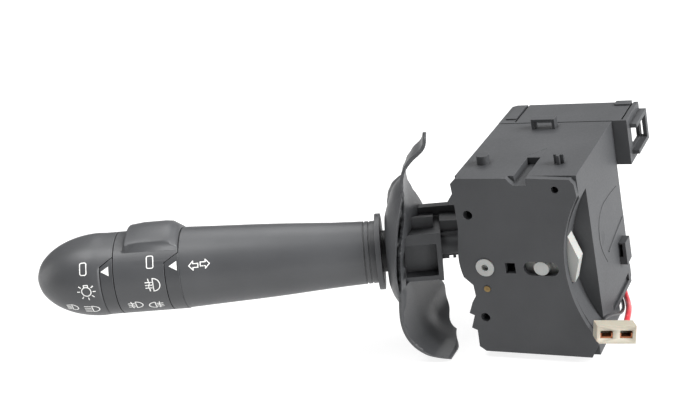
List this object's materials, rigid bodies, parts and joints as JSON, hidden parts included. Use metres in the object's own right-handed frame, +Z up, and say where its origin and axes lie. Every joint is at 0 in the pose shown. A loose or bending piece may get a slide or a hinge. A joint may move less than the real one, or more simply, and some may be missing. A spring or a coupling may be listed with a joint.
{
  "type": "combination stalk switch",
  "caption": "Steering column stalk switch: turning light knob and fog ring on a tapered lever that rocks and pulls in a moulded housing with connector and wires",
  "frame": {"origin": "axis of the indicator pivot at the front face of the housing", "axes": "+X from the stalk into the housing, +Y from the driver to the back, +Z up"},
  "size_m": [0.2082, 0.1184, 0.0842],
  "materials": {
    "stalk_plastic": "fine satin grain",
    "housing_plastic": "matte, glass filled",
    "inner_plastic": "matte",
    "white_nylon": "plain moulded",
    "steel": "drawn",
    "brass": "plain",
    "copper": "stamped sheet",
    "solder": "bright bead",
    "red_wire": "smooth insulation",
    "black_wire": "smooth insulation",
    "white_wire": "smooth insulation",
    "purple_wire": "smooth insulation"
  },
  "bodies": {
    "housing": {"housing": "housing_plastic", "rivet": "brass", "detent_cam": "inner_plastic", "contact_board": "inner_plastic", "base_plate": "housing_plastic", "connector_shroud": "housing_plastic", "blade_01": "copper", "blade_02": "copper", "blade_03": "copper", "blade_04": "copper", "blade_05": "copper", "blade_06": "copper", "blade_07": "copper", "blade_08": "copper", "blade_09": "copper", "blade_10": "copper", "blade_11": "copper", "blade_12": "copper", "blade_13": "copper", "copper_track_upper": "copper", "copper_track_middle": "copper", "copper_track_lower": "copper", "base_screw": "steel", "wire_clip": "housing_plastic", "solder_joints": "solder", "red_pigtail": "red_wire", "black_pigtail": "black_wire", "thin_wire_black": "black_wire", "thin_wire_white": "white_wire", "thin_wire_purple": "purple_wire", "plug": "white_nylon", "plug_terminal_left": "copper", "plug_terminal_right": "copper"},
    "carrier": {"carrier_yoke": "inner_plastic", "pivot_bush": "white_nylon", "flash_pivot_pin": "steel"},
    "lever": {"lever_arm": "stalk_plastic", "shield": "stalk_plastic", "core_tube": "steel", "stalk_sleeve": "stalk_plastic", "light_pointer_band": "stalk_plastic", "fog_pointer_band": "stalk_plastic", "fog_contact_plate": "copper", "knob_detent_ball": "steel", "knob_detent_spring": "steel", "ring_detent_ball": "steel", "ring_detent_spring": "steel", "detent_plunger": "white_nylon", "plunger_spring": "steel"},
    "knob": {"end_knob": "stalk_plastic", "light_drive_shaft": "steel"},
    "fog": {"fog_ring": "stalk_plastic", "fog_contact_carrier": "inner_plastic"},
    "cancel": {"cancel_finger": "white_nylon", "cancel_spring": "steel"},
    "slider": {"indicator_slider": "inner_plastic"}
  },
  "joints": [
    {"name": "indicator", "type": "hinge", "parent": "housing", "child": "carrier", "pos_m": [0, 0, 0], "axis": [0, 1, 0], "range_deg": [-9, 9]},
    {"name": "flash", "type": "hinge", "parent": "carrier", "child": "lever", "pos_m": [0, 0.0194, 0], "axis": [0, 0, 1], "range_deg": [0, 7], "stiffness_Nm_per_rad": 0.6, "springref_deg": -8.59},
    {"name": "light_knob", "type": "hinge", "parent": "lever", "child": "knob", "pos_m": [0, 0.0194, 0], "axis": [-0.9173, -0.3882, 0.0884], "range_deg": [0, 60]},
    {"name": "fog_ring", "type": "hinge", "parent": "lever", "child": "fog", "pos_m": [0, 0.0194, 0], "axis": [-0.9173, -0.3882, 0.0884], "range_deg": [0, 65]},
    {"name": "cancel", "type": "slide", "parent": "housing", "child": "cancel", "axis": [1, 0, 0], "range_m": [-0.003, 0.001], "stiffness_N_per_m": 200},
    {"name": "contact_slide", "type": "slide", "parent": "housing", "child": "slider", "axis": [1, 0, 0], "range_m": [-0.0021, 0.0021]}
  ],
  "couplings": [
    {"joint": "contact_slide", "follows": "indicator", "m_per_rad": -0.0122}
  ]
}
